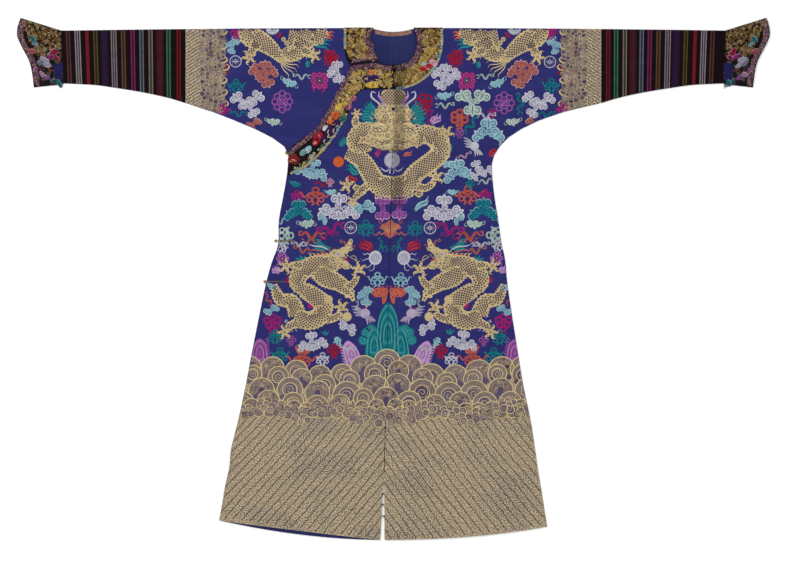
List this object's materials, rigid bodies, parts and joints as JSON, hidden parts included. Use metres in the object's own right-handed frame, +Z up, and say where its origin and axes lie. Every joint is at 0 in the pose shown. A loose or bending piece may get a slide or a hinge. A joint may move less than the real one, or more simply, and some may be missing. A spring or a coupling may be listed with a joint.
{
  "type": "chinese dragon robe",
  "caption": "Long side-closing silk robe with dragons, clouds and waves, striped lower sleeves and hoof cuffs, laid flat face up.",
  "frame": {"origin": "under the middle of the robe's box, on the surface it lies on", "axes": "+X along the sleeves towards the wearer's left, +Y from the hem towards the shoulders, +Z up from the surface, out of the robe's front"},
  "size_m": [2.0544, 1.425, 0.0096],
  "materials": {
    "blue_silk": "slit-tapestry silk with metal-wrapped thread motifs, soft sheen",
    "striped_silk": "dark maroon silk with narrow coloured stripes, soft sheen",
    "figured_black": "black silk densely figured in gold thread, metallic sheen",
    "brocade": "purple silk brocaded with gold",
    "plain_lining": "plain blue silk, matt with a faint sheen",
    "gilt": "worn gilt",
    "cord": "twisted silk cord"
  },
  "bodies": {
    "root": {"left_panel": "blue_silk", "right_panel": "blue_silk", "overlap_panel": "blue_silk", "sleeve_left": "striped_silk", "sleeve_right": "striped_silk", "cuff_left": "figured_black", "cuff_right": "figured_black", "collar_band": "figured_black", "overlap_band": "figured_black", "neck_binding": "brocade", "neck_lining": "plain_lining", "hem_facing": "plain_lining", "button_underarm": "gilt", "button_waist": "gilt", "button_hip": "gilt", "loop_underarm": "cord", "loop_waist": "cord", "loop_hip": "cord"}
  },
  "joints": []
}
